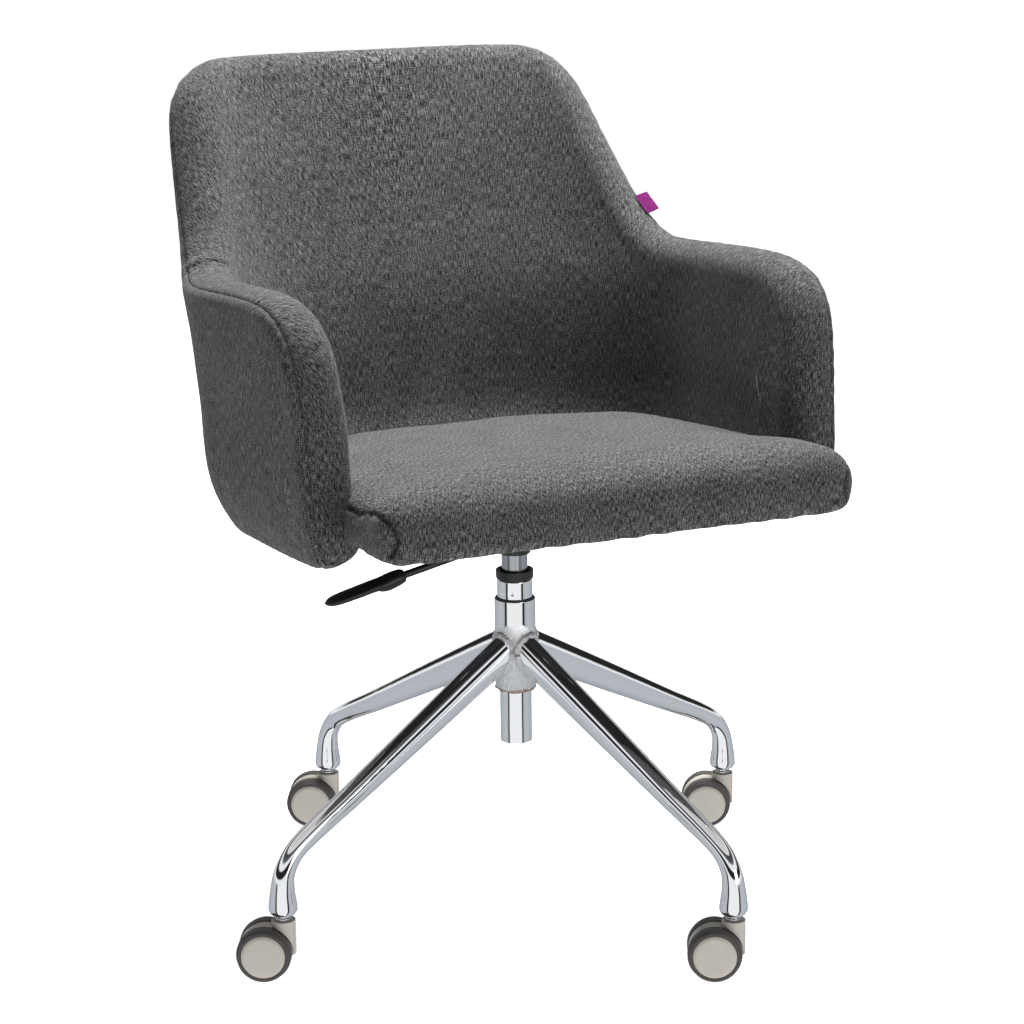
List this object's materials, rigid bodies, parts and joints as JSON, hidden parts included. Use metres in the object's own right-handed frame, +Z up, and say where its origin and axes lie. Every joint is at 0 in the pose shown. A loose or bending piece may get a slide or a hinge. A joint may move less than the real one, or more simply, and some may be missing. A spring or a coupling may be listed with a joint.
{
  "type": "swivel tub armchair",
  "caption": "Upholstered tub armchair that swivels and rises on a gas lift, on a legged tube base with twin-wheel castors.",
  "frame": {"origin": "on the floor, on the column's axis", "axes": "+Z up, -Y the way the sitter faces, +X to the sitter's left"},
  "size_m": [0.6103, 0.6884, 0.7898],
  "materials": {
    "shell_fabric": "melange woven polyester, matt",
    "cushion_fabric": "melange woven polyester, matt",
    "tag_fabric": "woven ribbon",
    "chrome": "polished plate",
    "zinc_steel": "bright zinc",
    "cylinder_steel": "ground and polished",
    "black_steel": "black powder coat",
    "black_plastic": "fine texture",
    "socket_plastic": "plain",
    "plywood": "raw",
    "cambric": "non-woven cloth",
    "castor_plastic": "satin, warm light grey",
    "castor_tyre": "soft, dark grey"
  },
  "bodies": {
    "base": {"hub_tube": "chrome", "stand_tube": "chrome", "guide_bush": "black_plastic", "thrust_bearing": "zinc_steel", "leg_1": "chrome", "castor_socket_1": "socket_plastic", "castor_stem_1": "zinc_steel", "leg_2": "chrome", "castor_socket_2": "socket_plastic", "castor_stem_2": "zinc_steel", "leg_3": "chrome", "castor_socket_3": "socket_plastic", "castor_stem_3": "zinc_steel", "leg_4": "chrome", "castor_socket_4": "socket_plastic", "castor_stem_4": "zinc_steel"},
    "lift_rod": {"piston_rod": "zinc_steel", "retaining_clip": "zinc_steel"},
    "seat": {"gas_cylinder": "cylinder_steel", "seat_plate": "black_steel", "plate_hub": "black_steel", "plate_bolt_1": "zinc_steel", "plate_bolt_2": "zinc_steel", "plate_bolt_3": "zinc_steel", "plate_bolt_4": "zinc_steel", "underside_cover": "cambric", "seat_board": "plywood", "seat_cushion": "cushion_fabric", "shell_board": "plywood", "inner_pad": "shell_fabric", "outer_pad": "shell_fabric", "label_tab": "tag_fabric", "lever_pin": "zinc_steel"},
    "lever": {"lever_rod": "black_steel", "lever_grip": "black_plastic"},
    "valve": {"valve_pin": "zinc_steel"},
    "castor_1": {"castor_hood_1": "castor_plastic", "castor_axle_1": "zinc_steel"},
    "wheel_1a": {"castor_wheel_1a": "castor_plastic", "castor_tyre_1a": "castor_tyre"},
    "wheel_1b": {"castor_wheel_1b": "castor_plastic", "castor_tyre_1b": "castor_tyre"},
    "castor_2": {"castor_hood_2": "castor_plastic", "castor_axle_2": "zinc_steel"},
    "wheel_2a": {"castor_wheel_2a": "castor_plastic", "castor_tyre_2a": "castor_tyre"},
    "wheel_2b": {"castor_wheel_2b": "castor_plastic", "castor_tyre_2b": "castor_tyre"},
    "castor_3": {"castor_hood_3": "castor_plastic", "castor_axle_3": "zinc_steel"},
    "wheel_3a": {"castor_wheel_3a": "castor_plastic", "castor_tyre_3a": "castor_tyre"},
    "wheel_3b": {"castor_wheel_3b": "castor_plastic", "castor_tyre_3b": "castor_tyre"},
    "castor_4": {"castor_hood_4": "castor_plastic", "castor_axle_4": "zinc_steel"},
    "wheel_4a": {"castor_wheel_4a": "castor_plastic", "castor_tyre_4a": "castor_tyre"},
    "wheel_4b": {"castor_wheel_4b": "castor_plastic", "castor_tyre_4b": "castor_tyre"}
  },
  "joints": [
    {"name": "seat_swivel", "type": "hinge", "parent": "base", "child": "lift_rod", "pos_m": [0, 0, 0.17], "axis": [0, 0, 1], "continuous": true},
    {"name": "seat_height", "type": "slide", "parent": "lift_rod", "child": "seat", "axis": [0, 0, 1], "range_m": [0, 0.1]},
    {"name": "lever_lift", "type": "hinge", "parent": "seat", "child": "lever", "pos_m": [-0.0175, 0, 0.3566], "axis": [0, 1, 0], "range_deg": [0, 8], "stiffness_Nm_per_rad": 2, "springref_deg": -14.32},
    {"name": "valve_press", "type": "slide", "parent": "seat", "child": "valve", "axis": [0, 0, -1], "range_m": [0, 0.0025]},
    {"name": "castor_swivel_1", "type": "hinge", "parent": "base", "child": "castor_1", "pos_m": [0.27381, 0.09215, 0.05], "axis": [0, 0, 1], "continuous": true},
    {"name": "wheel_spin_1a", "type": "hinge", "parent": "castor_1", "child": "wheel_1a", "pos_m": [0.25858, 0.09971, 0.025], "axis": [-0.4446, -0.8957, 0], "continuous": true},
    {"name": "wheel_spin_1b", "type": "hinge", "parent": "castor_1", "child": "wheel_1b", "pos_m": [0.25858, 0.09971, 0.025], "axis": [-0.4446, -0.8957, 0], "continuous": true},
    {"name": "castor_swivel_2", "type": "hinge", "parent": "base", "child": "castor_2", "pos_m": [-0.09215, 0.27381, 0.05], "axis": [0, 0, 1], "continuous": true},
    {"name": "wheel_spin_2a", "type": "hinge", "parent": "castor_2", "child": "wheel_2a", "pos_m": [-0.10737, 0.28137, 0.025], "axis": [-0.4446, -0.8957, 0], "continuous": true},
    {"name": "wheel_spin_2b", "type": "hinge", "parent": "castor_2", "child": "wheel_2b", "pos_m": [-0.10737, 0.28137, 0.025], "axis": [-0.4446, -0.8957, 0], "continuous": true},
    {"name": "castor_swivel_3", "type": "hinge", "parent": "base", "child": "castor_3", "pos_m": [-0.27381, -0.09215, 0.05], "axis": [0, 0, 1], "continuous": true},
    {"name": "wheel_spin_3a", "type": "hinge", "parent": "castor_3", "child": "wheel_3a", "pos_m": [-0.28904, -0.08459, 0.025], "axis": [-0.4446, -0.8957, 0], "continuous": true},
    {"name": "wheel_spin_3b", "type": "hinge", "parent": "castor_3", "child": "wheel_3b", "pos_m": [-0.28904, -0.08459, 0.025], "axis": [-0.4446, -0.8957, 0], "continuous": true},
    {"name": "castor_swivel_4", "type": "hinge", "parent": "base", "child": "castor_4", "pos_m": [0.09215, -0.27381, 0.05], "axis": [0, 0, 1], "continuous": true},
    {"name": "wheel_spin_4a", "type": "hinge", "parent": "castor_4", "child": "wheel_4a", "pos_m": [0.07692, -0.26625, 0.025], "axis": [-0.4446, -0.8957, 0], "continuous": true},
    {"name": "wheel_spin_4b", "type": "hinge", "parent": "castor_4", "child": "wheel_4b", "pos_m": [0.07692, -0.26625, 0.025], "axis": [-0.4446, -0.8957, 0], "continuous": true}
  ],
  "couplings": [
    {"joint": "valve_press", "follows": "lever_lift", "m_per_rad": 0.0172}
  ]
}
